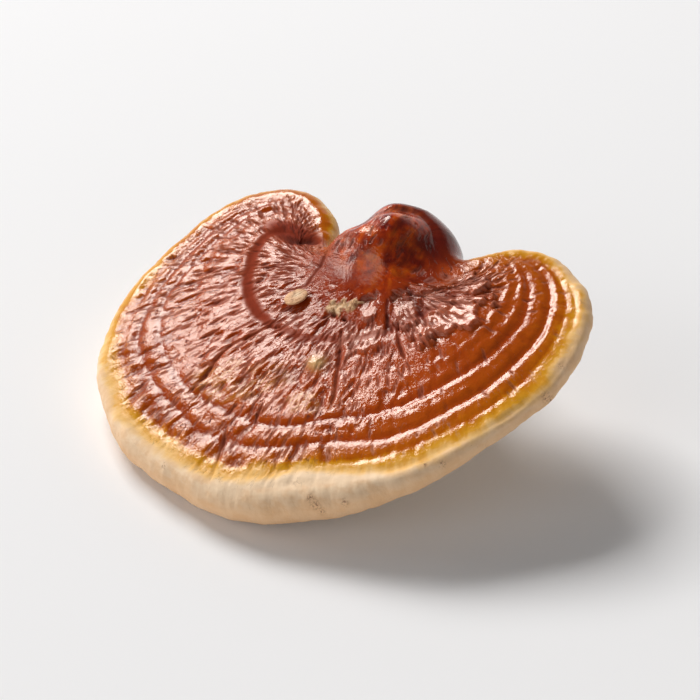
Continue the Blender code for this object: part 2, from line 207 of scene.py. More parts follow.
def sections(columns):
    """(rows, growth of each row, back mask, stem axis). Growth is 0-1 on the
    skin, 1-2 over the margin, 2-3 under it, 3-4 pores, 4-5 fillet, 5-6 stem."""
    edge, outward, root, bearing = margin_line(columns)
    from_back = np.hypot(edge[:, 0] - BACK_CENTRE[0], edge[:, 1] - BACK_CENTRE[1])
    cap = ease(BACK_INNER, BACK_OUTER, from_back)
    back = 1 - cap
    thin = 1 - THIN_SHARE * ease(30, 62, edge[:, 0])
    roll = RIM_OUT * thin * cap + BACK_ROLL * back
    in_cleft = np.hypot(edge[:, 0] - CLEFT_AT[0], edge[:, 1] - CLEFT_AT[1])
    roll = roll * (CLEFT_ROLL + (1 - CLEFT_ROLL) * ease(1.0, 11.0, in_cleft))
    widest = -RIM_UPPER * thin * cap - 4.5 * back
    arch = REST_ARCH * np.exp(-(((edge[:, 0] + 22) / 9) ** 2)) * ease(20, -20, edge[:, 1])
    lower = (RIM_LOWER * thin - arch) * cap + 5.0 * back
    under = PORE_ROLL * cap + 1.0 * back
    skin_edge = edge - outward * roll[:, None]

    rows, grown = [], []
    for k in range(1, SKIN_ROWS + 1):
        growth = (k / SKIN_ROWS) ** 0.75
        xy = rib_point(growth, root, bearing, skin_edge)
        rows.append(placed(np.column_stack([xy, skin_height(xy, growth)])))
        grown.append(growth)
    top = skin_height(skin_edge, 1.0)
    for k in range(1, ROLL_ROWS + 1):
        turn = math.pi / 2 * k / ROLL_ROWS
        xy = skin_edge + outward * (roll * math.sin(turn))[:, None]
        rows.append(placed(np.column_stack([xy, widest + (top - widest) * math.cos(turn)])))
        grown.append(1 + k / ROLL_ROWS)
    for k in range(1, UNDER_ROWS + 1):
        turn, level = math.pi / 2 * k / UNDER_ROWS, k / UNDER_ROWS
        inward = (1 - math.cos(turn)) * cap + level * back
        down = math.sin(turn) * cap + level * back
        xy = edge - outward * (under * inward)[:, None]
        rows.append(placed(np.column_stack([xy, widest - lower * down])))
        grown.append(2 + level)

    start = rows[-1]
    stem = placed(np.array([[KNOB_AT[0], KNOB_AT[1], -8.0]]))[0]
    degrees = np.degrees(bearing) % 360
    degrees = np.where(degrees < 100, degrees + 360, degrees)
    open_side = ease(204, 240, degrees) * ease(368, 325, degrees)
    fillet = (1.2 + (STEM_FILLET - 1.2) * open_side) * cap + 0.6 * back
    ray = np.column_stack([np.cos(bearing), np.sin(bearing)])
    normal, base = LEAN[:3, 2], placed(np.array([[0, 0, PORE_PLANE]]))[0]
    foot_xy = stem[:2] + ray * (STEM_RADIUS + STEM_FLARE)
    behind = back[:, None]
    turn_xy = stem[:2] + ray * (STEM_RADIUS + fillet)[:, None]
    pore_z = base[2] - ((turn_xy - base[:2]) @ normal[:2]) / normal[2]
    turn_xy += (start[:, :2] * 0.75 + foot_xy * 0.25 - turn_xy) * behind
    turn_z = pore_z * cap + (start[:, 2] - 9.0) * back
    turn = np.column_stack([turn_xy, turn_z])
    pull = placed(np.column_stack([root, np.full(columns, PORE_PLANE)]))
    pull = pull * (1 - behind) + (start + turn) / 2 * behind
    for k in range(1, PORE_ROWS + 1):
        v = k / PORE_ROWS
        rows.append((1 - v) ** 2 * start + 2 * v * (1 - v) * pull + v * v * turn)
        grown.append(3 + v)
    side_xy = stem[:2] + ray * STEM_RADIUS
    side_xy += (start[:, :2] * 0.62 + foot_xy * 0.38 - side_xy) * behind
    side_z = turn_z - fillet - 3.0 * back
    corner = np.column_stack([side_xy, turn_z])
    side = np.column_stack([side_xy, side_z])
    corner += ((turn + side) / 2 - corner) * behind
    for k in range(1, FILLET_ROWS + 1):
        v = k / FILLET_ROWS
        rows.append((1 - v) ** 2 * turn + 2 * v * (1 - v) * corner + v * v * side)
        grown.append(4 + v)
    for k in range(1, STEM_ROWS + 1):
        v = k / STEM_ROWS
        xy = side_xy + (foot_xy - side_xy) * v
        rows.append(np.column_stack([xy, side_z * (1 - v)]))
        grown.append(5 + v)
    return np.array(rows), np.array(grown), back, stem


# ------------------------------------------------------------------- patterns
def fade(t):
    return t * t * t * (t * (6 * t - 15) + 10)


def band_noise(u, s, cells, length, seed):
    """-1 to 1, `cells` round the cap and one per `length` mm along a rib."""
    rng = np.random.default_rng(seed)
    table = rng.uniform(-1, 1, (cells, 128))
    shift = rng.uniform(0, 128)
    x, y = u * cells, s / length + shift
    i, j = np.floor(x).astype(int), np.floor(y).astype(int)
    fx, fy = fade(x - i), fade(y - j)
    a, b, c, d = i % cells, (i + 1) % cells, j % 128, (j + 1) % 128
    return (table[a, c] * (1 - fx) + table[b, c] * fx) * (1 - fy) + (
        table[a, d] * (1 - fx) + table[b, d] * fx
    ) * fy


def rib_noise(u, s, width, across, length, seed):
    """Noise drawn out along the ribs, about `across` mm wide everywhere."""
    total = np.zeros_like(u * s)
    for k in range(3, 11):
        cells = 2**k
        share = np.clip(1 - np.abs(np.log2(width / (cells * across))), 0, 1)
        if share.max() > 0:
            total += share * band_noise(u, s, cells, length, seed + k)
    return total


def cloud(points, cell, seed):
    """Even noise in space, -1 to 1, with cells of that many millimetres."""
    table = np.random.default_rng(seed).uniform(-1, 1, (32, 32, 32))
    x = points / cell + 100.0
    i = np.floor(x).astype(int)
    f = fade(x - i)
    total = 0
    for a in (0, 1):
        for b in (0, 1):
            for c in (0, 1):
                share = (
                    (f[..., 0] if a else 1 - f[..., 0])
                    * (f[..., 1] if b else 1 - f[..., 1])
                    * (f[..., 2] if c else 1 - f[..., 2])
                )
                total = total + share * table[(i[..., 0] + a) % 32, (i[..., 1] + b) % 32, (i[..., 2] + c) % 32]
    return total


def round_table(pairs, u, blur=0.006):
    """A value that changes smoothly round the cap, from (place, value) pairs."""
    at, value = np.array(pairs).T
    fine = np.interp(np.arange(720) / 720, at, value, period=1.0)
    span = max(1, int(blur * 720))
    kernel = np.hanning(2 * span + 3)
    kernel /= kernel.sum()
    wrapped = np.concatenate([fine[-2 * span - 3:], fine, fine[:2 * span + 3]])
    fine = np.convolve(wrapped, kernel, "same")[2 * span + 3:-2 * span - 3]
    return np.interp(u, np.arange(720) / 720, fine, period=1.0)


def near_path(xy, path):
    """(distance to a polyline in mm, share of its length at the nearest point)."""
    path = np.array(path, float)
    run = np.concatenate([[0], np.cumsum(np.hypot(*np.diff(path, axis=0).T))])
    best = np.full(xy.shape[:-1], 1e9)
    place = np.zeros(xy.shape[:-1])
    for a, b, start, end in zip(path, path[1:], run, run[1:]):
        step = b - a
        t = np.clip(((xy - a) @ step) / (step @ step), 0, 1)
        away = np.hypot(*np.moveaxis(xy - (a + t[..., None] * step), -1, 0))
        closer = away < best
        best = np.where(closer, away, best)
        place = np.where(closer, (start + t * (end - start)) / run[-1], place)
    return best, place


# ------------------------------------------------------------- fruiting body
BASE, GROWN, BACK, STEM = sections(COLUMNS)
ROWS = len(BASE)
U = np.broadcast_to(np.arange(COLUMNS) / COLUMNS, (ROWS, COLUMNS)).copy()
T = np.broadcast_to(GROWN[:, None], (ROWS, COLUMNS)).copy()
AWAY = np.broadcast_to(BACK[None, :], (ROWS, COLUMNS))      # 1 behind the stem

# soften the pinched places where the pore side meets the stem in the clefts
under_rows = (GROWN > 2.3) & (GROWN < 5.9)
pinch = np.maximum(
    np.exp(-((((U[0] - 0.0 + 0.5) % 1.0 - 0.5) / 0.022) ** 2)),
    np.exp(-(((U[0] - 0.862) / 0.022) ** 2)),
)
weight = under_rows[:, None] * pinch[None, :] * 0.9
for _ in range(60):
    around = (np.roll(BASE, 1, axis=1) + np.roll(BASE, -1, axis=1)) / 4
    around[1:-1] += (BASE[:-2] + BASE[2:]) / 4
    around[0] += BASE[0] / 2
    around[-1] += BASE[-1] / 2
    BASE = BASE + (around - BASE) * weight[..., None]

step_row = np.gradient(BASE, axis=0)
step_col = (np.roll(BASE, -1, axis=1) - np.roll(BASE, 1, axis=1)) / 2
NORMAL = np.cross(step_row, step_col)
NORMAL /= np.maximum(np.linalg.norm(NORMAL, axis=2), 1e-9)[..., None]
WIDTH = np.linalg.norm(step_col, axis=2) * COLUMNS          # mm per turn of U
S = np.concatenate([np.zeros((1, COLUMNS)), np.cumsum(np.linalg.norm(np.diff(BASE, axis=0), axis=2), axis=0)])
PLANE = (BASE - LEAN[:3, 3]) @ LEAN[:3, :3]                  # back in the cap's plane
X, Y = PLANE[..., 0], PLANE[..., 1]
XY = PLANE[..., :2]
ON_SKIN = T <= 1.0001
SKIN = 1 - ease(0.985, 1.10, T)
TO_KNOB = np.hypot(X - KNOB_AT[0], Y - KNOB_AT[1])
SMOOTH = ease(22, 42, X - 0.12 * Y) * (Y < 60)               # the even right lobe
RIM = ease(0.97, 1.06, T) * (1 - ease(2.9, 3.05, T))


def rib_place(growth):
    """Distance along each rib, in mm, at that growth (one value a column)."""
    index = np.interp(growth, GROWN, np.arange(ROWS))
    low = np.clip(index.astype(int), 0, ROWS - 2)
    part = index - low
    column = np.arange(COLUMNS)
    return S[low, column] * (1 - part) + S[low + 1, column] * part


def ring(pairs, wander=0.0, seed=0):
    """Signed distance in mm from a growth line, outward positive."""
    at = rib_place(round_table(pairs, U[0]))
    if wander:
        at = at + wander * band_noise(U[0], np.zeros(COLUMNS), 40, 1.0, seed) + 0.5 * wander * band_noise(
            U[0], np.zeros(COLUMNS), 110, 1.0, seed + 1)
    return S - at[None, :]


def along(pairs):
    return round_table(pairs, U[0])[None, :]


def bell(distance, width):
    return np.exp(-((distance / width) ** 2))


lift = np.zeros((ROWS, COLUMNS))     # mm out of the skin
# dark: painted shade in sunk places (long and short cracks, the scar's holes, the crevice)
dark = np.zeros((ROWS, COLUMNS))     # 0 to 1, sunk places that stay dark
bare = np.zeros((ROWS, COLUMNS))     # 0 to 1, dull places with no lacquer

# growth lines, from the inner groove out to the margin
INNER = ((0.02, 0.60), (0.054, 0.62), (0.10, 0.66), (0.133, 0.68), (0.176, 0.66), (0.221, 0.64),
         (0.261, 0.63), (0.296, 0.61), (0.324, 0.59), (0.35, 0.57), (0.382, 0.55), (0.421, 0.54),
         (0.451, 0.51), (0.519, 0.48), (0.554, 0.46), (0.631, 0.46), (0.688, 0.44), (0.767, 0.47),
         (0.84, 0.50), (0.93, 0.55))
GROOVE_A = ((0.03, 0.84), (0.10, 0.87), (0.22, 0.885), (0.25, 0.90), (0.30, 0.89), (0.335, 0.87),
            (0.385, 0.86), (0.457, 0.84), (0.532, 0.81), (0.60, 0.80), (0.65, 0.81), (0.71, 0.795),
            (0.76, 0.80), (0.80, 0.84), (0.83, 0.90))
RIDGE_C = ((0.03, 0.875), (0.10, 0.90), (0.25, 0.92), (0.30, 0.91), (0.335, 0.895), (0.385, 0.885),
           (0.457, 0.87), (0.54, 0.855), (0.60, 0.855), (0.656, 0.865), (0.706, 0.845), (0.762, 0.85),
           (0.79, 0.88), (0.822, 0.95))
GROOVE_B = ((0.03, 0.91), (0.10, 0.925), (0.25, 0.94), (0.297, 0.94), (0.34, 0.92), (0.385, 0.91),
            (0.421, 0.92), (0.457, 0.905), (0.492, 0.89), (0.537, 0.885), (0.60, 0.895), (0.65, 0.895),
            (0.70, 0.885), (0.76, 0.89), (0.80, 0.93), (0.83, 0.97))
RIDGE_D = ((0.03, 0.935), (0.10, 0.945), (0.25, 0.96), (0.30, 0.955), (0.34, 0.945), (0.40, 0.94),
           (0.46, 0.93), (0.50, 0.918), (0.55, 0.925), (0.60, 0.93), (0.65, 0.926), (0.707, 0.92),
           (0.744, 0.91), (0.778, 0.94), (0.82, 0.98))
GROOVE_C = ((0.03, 0.965), (0.10, 0.97), (0.25, 0.98), (0.30, 0.975), (0.34, 0.97), (0.40, 0.965),
            (0.46, 0.955), (0.55, 0.945), (0.60, 0.945), (0.65, 0.955), (0.75, 0.95), (0.82, 0.99))
RIDGE_A = ((0.60, 0.71), (0.628, 0.72), (0.644, 0.73), (0.681, 0.71), (0.721, 0.68), (0.769, 0.70), (0.826, 0.81))
RIDGE_B = ((0.60, 0.765), (0.644, 0.77), (0.672, 0.75), (0.708, 0.74), (0.76, 0.745), (0.797, 0.80), (0.833, 0.89))
BROAD = ((0.03, 0.76), (0.10, 0.80), (0.154, 0.84), (0.186, 0.84), (0.217, 0.83), (0.254, 0.81), (0.32, 0.78))

inner = ring(INNER, 0.5, 11)
inner_strength = along(((0.0, 0.0), (0.03, 0.9), (0.06, 1.0), (0.34, 1.0), (0.355, 0.35), (0.38, 0.8),
                        (0.44, 0.6), (0.60, 0.45), (0.72, 0.35), (0.80, 0.2), (0.87, 0.0)))
inner_width = along(((0.0, 1.5), (0.10, 2.0), (0.34, 1.8), (0.40, 1.2), (0.80, 0.9)))
inner_band = np.exp(-((inner / inner_width) ** 4)) * along(((0.0, 0.0), (0.04, 1.0), (0.34, 1.0), (0.37, 0.5), (0.80, 0.3), (0.86, 0.0)))
lift -= 0.62 * inner_strength * np.clip(1.15 - np.abs(inner) / inner_width, 0, 1)
groove_a, ridge_c, groove_b = ring(GROOVE_A, 0.3, 21), ring(RIDGE_C, 0.25, 31), ring(GROOVE_B, 0.3, 41)
ridge_d, groove_c = ring(RIDGE_D, 0.25, 51), ring(GROOVE_C, 0.25, 61)
ridge_a, ridge_b, broad = ring(RIDGE_A, 0.3, 71), ring(RIDGE_B, 0.3, 81), ring(BROAD, 0.6, 91)
front_cap = along(((0.0, 0.0), (0.04, 0.7), (0.30, 0.9), (0.50, 1.0), (0.80, 1.0), (0.85, 0.0)))
lift -= 0.48 * front_cap * np.clip(1.1 - np.abs(groove_a) / 1.7, 0, 1)
broken = np.clip(0.55 + 0.95 * rib_noise(U, S, WIDTH, 1.7, 1.3, 310) + 0.45 * rib_noise(U, S, WIDTH, 4.0, 3.0, 320), 0, 1.4)
ridge_gain = along(((0.0, 0.15), (0.46, 0.25), (0.56, 0.8), (0.62, 1.0), (0.80, 1.0), (0.86, 0.0)))
lift += 0.20 * broken * ridge_gain * bell(ridge_c, 0.60)
lift -= 0.52 * front_cap * np.clip(1.1 - np.abs(groove_b) / 1.6, 0, 1)
lift += 0.13 * broken * ridge_gain * bell(ridge_d, 0.55)
lift -= 0.28 * front_cap * bell(groove_c, 0.9)
right_lobe = along(((0.58, 0.0), (0.63, 1.0), (0.81, 1.0), (0.85, 0.0)))
for ridge in (ridge_a, ridge_b):
    lift += 0.27 * (0.25 + 0.75 * broken) * right_lobe * np.exp(-(((ridge - 0.4) / 1.25) ** 4))
lift -= 0.25 * along(((0.0, 0.0), (0.06, 1.0), (0.26, 1.0), (0.34, 0.0))) * bell(broad, 1.8)
# faint growth lines between them
fine_rings = band_noise(U, S, 6, 1.3, 301) * 0.5 + band_noise(U, S, 10, 2.6, 302)
lift += along(((0.0, 0.10), (0.05, 0.26), (0.24, 0.26), (0.33, 0.12), (0.60, 0.10), (0.86, 0.10))) * fine_rings * SKIN * ease(0.5, 0.8, T) * (1 - AWAY)

# radial wrinkles, flakes between short cracks
warp_s = S + 1.3 * cloud(BASE, 3.2, 460) + 0.6 * cloud(BASE, 1.5, 461)
warp_u = U + (1.0 * cloud(BASE, 2.8, 462) + 0.5 * cloud(BASE, 1.4, 463)) / np.maximum(WIDTH, 60)
wrinkled = SKIN * ease(0.10, 0.30, T) * (1 - 0.75 * (1 - ease(12, 22, TO_KNOB)))
mottle = rib_noise(warp_u, warp_s, WIDTH, 2.3, 5.2, 400) + 0.65 * rib_noise(warp_u, warp_s, WIDTH, 1.25, 2.8, 420)
open_ground = along(((0.0, 0.05), (0.26, 0.05), (0.34, 0.22), (0.60, 0.20), (0.66, 0.0), (0.88, 0.0))) * ease(0.78, 0.92, T)
sunk = np.clip(open_ground - 0.20 - mottle, 0, 1)
plates = 1 - np.clip(sunk / 0.30, 0, 1)
tilted = rib_noise(warp_u, warp_s, WIDTH, 4.6, 8.0, 430)
finest = rib_noise(warp_u, warp_s, WIDTH, 1.1, 2.0, 440)
relief = -0.62 * sunk**0.85 + 0.17 * tilted + 0.05 * finest
in_groove = np.maximum(inner_band, front_cap * (1 - SMOOTH) * np.maximum(bell(groove_a, 1.1), bell(groove_b, 1.1)))
wrinkled = wrinkled * (1 - 0.75 * in_groove)
lift += wrinkled * (1 - 0.62 * SMOOTH) * relief
lift += 0.30 * cloud(BASE, 17.0, 450) * SKIN + 0.07 * cloud(BASE, 4.5, 451) * SKIN
gaps = (1 - plates) * wrinkled * (1 - 0.7 * SMOOTH)
wrinkled = wrinkled * (1 - 0.80 * SMOOTH)

# long cracks
CRACKS = (
    (((-14.5, -1.2), (-17.4, -2.1), (-20.7, -7.6), (-24.5, -12.4), (-25.7, -19.0), (-25.3, -25.4), (-26.5, -33.0)), 0.55, 0.62),
    (((-15.1, -14.5), (-14.6, -19.0), (-13.2, -24.4)), 0.38, 0.5),
    (((4.8, 4.0), (8.7, -2.5), (12.2, -8.9), (15.9, -16.2), (17.6, -21.0)), 0.50, 0.45),
    (((20.6, 12.0), (21.1, 9.9), (25.2, 4.9), (28.6, 2.3)), 0.50, 0.5),
    (((-32.2, -9.1), (-35.3, -13.6)), 0.35, 0.45),
    (((-2.2, -27.2), (-0.8, -33.2)), 0.35, 0.4),
    (((-8.0, -37.8), (-5.9, -41.9), (-3.4, -48.8), (-1.2, -54.5)), 0.42, 0.6),
    (((-9.6, -30.0), (-10.5, -35.0)), 0.35, 0.4),
    (((-14.6, 27.9), (-14.8, 22.7), (-15.6, 17.8), (-15.6, 14.2)), 0.8, 0.25),
    (((16.0, 13.0), (17.6, 10.4)), 0.5, 0.35),
    (((22.5, 21.0), (24.3, 20.0)), 0.45, 0.3),
)
upper = T < 1.12
for path, width, depth in CRACKS:
    away, place = near_path(XY, path)
    wobble = 0.35 * cloud(BASE, 2.2, 470) + 0.2 * cloud(BASE, 1.0, 471)
    thick = width * (0.35 + 0.65 * np.sin(np.pi * np.clip(place, 0.02, 0.98)) ** 0.5)
    cut = np.exp(-((np.maximum(away + wobble, 0) / thick) ** 2)) * upper
    lift -= depth * cut
    dark = np.maximum(dark, 0.85 * cut)

# short cracks strewn over the wrinkled part
rng = np.random.default_rng(77)
skin_count = int(np.sum(GROWN <= 1.0))
short = np.zeros((ROWS, COLUMNS))
for _ in range(1500):
    r0, c0 = int(skin_count * rng.uniform(0.18, 1.0) ** 0.75), int(rng.integers(0, COLUMNS))
    r0 = min(r0, skin_count - 1)
    keep, half = rng.uniform(), rng.uniform(0.7, 3.0)
    wide, deep, slant = rng.uniform(0.26, 0.42), rng.uniform(0.6, 1.0), rng.uniform(-0.25, 0.25)
    if keep > wrinkled[r0, c0] * (0.35 + 0.65 * ease(0.3, 0.5, GROWN[r0])):
        continue
    rows = np.arange(max(0, r0 - 7), min(skin_count, r0 + 8))
    reach = int(math.ceil(1.6 / max(WIDTH[r0, c0] / COLUMNS, 0.05)))
    cols = (np.arange(c0 - reach, c0 + reach + 1)) % COLUMNS
    offs = np.arange(-reach, reach + 1)
    run = S[np.ix_(rows, cols)] - S[r0, c0]
    across = offs[None, :] * WIDTH[np.ix_(rows, cols)] / COLUMNS - slant * run - 0.12 * np.sin(run * 2.4 + c0)
    mark = deep * np.exp(-((across / wide) ** 2)) * np.clip(1 - (run / half) ** 2, 0, 1)
    short[np.ix_(rows, cols)] = np.maximum(short[np.ix_(rows, cols)], mark)
short = short * (1 - 0.85 * ease(0.93, 1.0, T))
lift -= 0.34 * short
dark = np.maximum(dark, 0.9 * short)

# crusty scar with two holes, a pale blister, a dull yellowish patch
scar_at = XY - (0.2, 11.2)
scar_turn = math.radians(32)
scar_x = scar_at[..., 0] * math.cos(scar_turn) + scar_at[..., 1] * math.sin(scar_turn)
scar_y = -scar_at[..., 0] * math.sin(scar_turn) + scar_at[..., 1] * math.cos(scar_turn)
scar_r = np.hypot(scar_x / 5.4, scar_y / 2.6) + 0.55 * cloud(BASE, 2.4, 480) + 0.3 * cloud(BASE, 1.1, 481)
scar = (1 - ease(0.72, 0.98, scar_r)) * upper
lift += 0.30 * scar + 0.35 * scar * cloud(BASE, 1.3, 482)
holes = np.maximum(
    bell(np.hypot(X + 0.6, (Y - 8.4) * 1.2) + 0.3 * cloud(BASE, 1.2, 483), 0.95),
    bell(np.hypot(X - 3.4, (Y - 8.0) * 1.3) + 0.3 * cloud(BASE, 1.2, 484), 0.6),
) * upper
lift -= 1.2 * holes
dark = np.maximum(dark, holes)
blister = bell(np.hypot(X - 4.4, Y + 8.8) + 0.4 * cloud(BASE, 1.8, 487), 2.5) * upper
lift += 0.75 * blister
hollow = bell(np.hypot(X - CHIP_AT[0] - 1.8, Y - CHIP_AT[1] + 1.8), 2.4) * upper
lift -= 0.5 * hollow
lift += 0.5 * bell(np.hypot(X + 18.6, Y - 6.2), 1.1) * upper
patch = (1 - ease(0.55, 1.1, np.hypot((X - 9.5) / 6.0, (Y + 22.0) / 4.0) + 0.4 * cloud(BASE, 3.0, 485))) * upper
ochre = (1 - ease(0.4, 1.1, near_path(XY, ((-5, -17), (-12, -25), (-24, -28), (-20, -22)))[0] / 6.0
                  + 0.5 * cloud(BASE, 4.0, 486))) * upper

# flat plates between the neck and the right lobe
facets = np.zeros((ROWS, COLUMNS))
for cx, cy, rx, ry, turn_by, share in (
    (20.0, 16.6, 4.8, 6.0, 0.5, 0.95), (27.0, 22.8, 4.6, 3.8, 0.3, 0.95), (9.2, 13.4, 3.0, 5.0, 0.2, 0.95),
    (35.0, 20.0, 6.0, 11.0, -0.5, 0.85), (32.0, 32.5, 5.5, 5.5, 0.0, 0.85), (29.5, 12.5, 5.0, 4.5, 0.3, 0.85),
    (13.0, 3.0, 7.0, 6.0, 0.0, 0.7),
):
    dx, dy = X - cx, Y - cy
    ax, ay = dx * math.cos(turn_by) + dy * math.sin(turn_by), -dx * math.sin(turn_by) + dy * math.cos(turn_by)
    inside = (1 - ease(0.72, 1.08, np.hypot(ax / rx, ay / ry) + 0.42 * cloud(BASE, 2.6, 490) + 0.2 * cloud(BASE, 1.2, 491))) * upper
    middle = skin_height(np.array([[cx, cy]]), np.array([0.4]))[0] + 0.12
    lift += inside * (middle + 0.075 * dx - 0.02 * dy - PLANE[..., 2]) * share
    facets = np.maximum(facets, inside)
wine, _ = near_path(XY, ((13.6, 17.4), (14.8, 14.6), (16.4, 12.0), (18.0, 9.8)))
wine_b, _ = near_path(XY, ((17.0, 23.0), (19.6, 21.6), (22.4, 19.4), (25.0, 17.0)))
wine = np.maximum(bell(wine, 0.65), bell(wine_b, 0.9)) * upper
lift -= 0.3 * wine

# a crease along the knob, worked out but not used
crease, place = near_path(XY, ((3.6, 38.4), (7.4, 36.6), (10.6, 35.6), (14.0, 36.2), (17.4, 36.8), (20.4, 34.6), (23.4, 31.4)))
knob_crease = np.exp(-((crease / 1.5) ** 2)) * upper * np.sin(np.pi * np.clip(place, 0.03, 0.97)) ** 0.5

# painted highlight: pale pink patches standing in for the key light's reflection on the mound's left side, along the
# collar's crest and over the flat plates
painted_highlight = 0.55 * (1 - ease(0.35, 1.15, np.hypot((X + 7.2) / 6.0, (Y - 28.2) / 4.6) + 0.3 * cloud(BASE, 3.0, 640))) * upper
crest, place = near_path(XY, ((-5.2, 41.2), (-3.0, 43.0), (0.2, 45.2), (3.4, 47.4), (6.2, 48.8)))
painted_highlight = np.maximum(painted_highlight, 0.55 * bell(crest + 0.4 * cloud(BASE, 1.6, 641), 1.3) * ease(1.0, 0.75, place) * (T < 1.5))
painted_highlight = np.maximum(painted_highlight, 0.32 * facets)

# crevice between the left lobe and the neck, with painted shade in it and on the lobe's inner side beside it
away, place = near_path(XY, ((-43.6, 29.8), (-40.3, 30.6), (-36.2, 30.7), (-32.8, 30.6), (-29.2, 31.1), (-27.1, 33.3), (-23.4, 35.2)))
crevice = np.exp(-((away / 1.9) ** 2)) * ease(0.0, 0.6, place) * ease(1.0, 0.80, place) * upper
lift -= 1.5 * crevice
dark = np.maximum(dark, 0.95 * crevice**1.5)
lobe_shade = np.exp(-((np.hypot((X + 33.5) / 11.0, (Y - 33.6) / 3.8)) ** 4)) * upper

TO_CREAM = ((0.02, 1.7), (0.10, 1.7), (0.16, 1.8), (0.24, 1.75), (0.285, 1.45), (0.312, 1.26), (0.339, 1.16),
            (0.371, 1.08), (0.401, 1.01), (0.439, 0.99), (0.461, 0.985), (0.479, 0.975), (0.50, 0.965),
            (0.519, 0.955), (0.539, 0.965), (0.561, 0.98), (0.581, 0.995), (0.601, 1.0), (0.621, 1.05),
            (0.64, 1.12), (0.661, 1.19), (0.685, 1.26), (0.703, 1.26), (0.729, 1.2), (0.76, 1.14),
            (0.80, 1.16), (0.85, 1.4))
TO_AMBER = ((0.02, 1.38), (0.09, 1.34), (0.14, 1.10), (0.18, 1.0), (0.24, 0.98), (0.256, 1.0), (0.287, 0.985), (0.31, 0.98), (0.378, 0.965), (0.436, 0.96),
            (0.458, 0.955), (0.483, 0.93), (0.535, 0.93), (0.581, 0.945), (0.65, 0.955), (0.717, 0.95),
            (0.762, 0.94), (0.80, 0.96), (0.85, 1.0))

# the margin: soft swellings, small cross wrinkles, a lip on the right
# painted shade: a darker tan over the rim's outer face and underside, strongest along the front
rim_shade = RIM * ease(1.2, 1.9, T) * along(((0.0, 0.25), (0.28, 0.3), (0.38, 0.9), (0.60, 1.0), (0.70, 0.9), (0.80, 0.6), (0.88, 0.3)))
SPECKS = ((0.5278, 1.44, 0.9), (0.5306, 1.66, 1.1), (0.5333, 1.88, 0.9), (0.5486, 1.67, 0.9), (0.6875, 1.78, 1.2),
          (0.690, 2.1, 1.1), (0.6917, 2.5, 0.9), (0.6847, 2.55, 0.8), (0.6014, 1.22, 0.7), (0.6111, 1.55, 0.8),
          (0.7097, 1.33, 0.7), (0.4194, 1.33, 0.7), (0.7653, 1.22, 0.8))
speckle = np.zeros((ROWS, COLUMNS))
for at_u, at_t, size in SPECKS:
    at_s = rib_place(np.full(COLUMNS, at_t))[None, :]
    speckle = np.maximum(speckle, bell(np.hypot((U - at_u) * WIDTH, S - at_s), size))
rim_swell = band_noise(U, S, 26, 30.0, 500) * 0.45 + band_noise(U, S, 58, 12.0, 501) * 0.28
rim_small = band_noise(U, S, 150, 4.0, 502) * 0.09 + band_noise(U, S, 330, 2.6, 503) * 0.06 + 0.08 * cloud(BASE, 3.0, 505)
rim_zone = ease(0.98, 1.25, T) * (1 - ease(2.7, 3.1, T)) * (1 - AWAY)
lift += rim_zone * (rim_swell + 1.5 * rim_small)
lip = along(((0.56, 0.0), (0.60, 1.0), (0.72, 1.0), (0.78, 0.0)))
lip_at = along(((0.55, 1.10), (0.60, 1.16), (0.64, 1.28), (0.66, 1.46), (0.70, 1.62), (0.76, 1.40)))
lift += 0.22 * lip * bell((T - lip_at) * 5.0, 0.8) - 0.20 * lip * bell((T - lip_at + 0.24) * 5.0, 0.8)
front_lip = along(((0.0, 0.0), (0.24, 0.0), (0.32, 0.8), (0.42, 1.0), (0.58, 1.0), (0.64, 0.0), (0.86, 0.0)))
past = S - rib_place(round_table(TO_CREAM, U[0]))[None, :] - 0.5 * band_noise(U, S, 34, 30.0, 603)
lift -= 0.38 * front_lip * bell(past + 0.4, 1.0)
lift += 0.48 * front_lip * bell(past - 3.0, 2.1) * (1 - 0.5 * ease(1.6, 2.0, T))

# pore side and stem
pores_zone = ease(2.9, 3.3, T) * (1 - ease(4.5, 5.0, T)) * (1 - AWAY)
lift += pores_zone * (0.30 * cloud(BASE, 15.0, 520) + 0.08 * cloud(BASE, 5.0, 521))
stem_zone = np.maximum(ease(4.3, 5.0, T), AWAY * ease(1.6, 2.2, T)) * (1 - ease(5.85, 6.0, T))
stem_round = np.arctan2(BASE[..., 1] - STEM[1], BASE[..., 0] - STEM[0]) / (2 * np.pi) % 1.0
stem_ribs = band_noise(stem_round, BASE[..., 2], 11, 30.0, 530) * 0.55 + band_noise(stem_round, BASE[..., 2], 34, 12.0, 531) * 0.2
stem_rings = band_noise(stem_round, BASE[..., 2], 5, 3.2, 532) * 0.22
lift += stem_zone * (stem_ribs + stem_rings)

POINTS = BASE + NORMAL * lift[..., None]
foot = T >= 5.9999
POINTS[..., 2] = np.where(foot, 0.0, np.maximum(POINTS[..., 2], 0.0))
low, high = (np.array(corner) / MM for corner in CAD_BOX)
POINTS = np.clip(POINTS, low - 0.4, high + 0.4)
POINTS[..., 2] = np.maximum(POINTS[..., 2], 0.0)

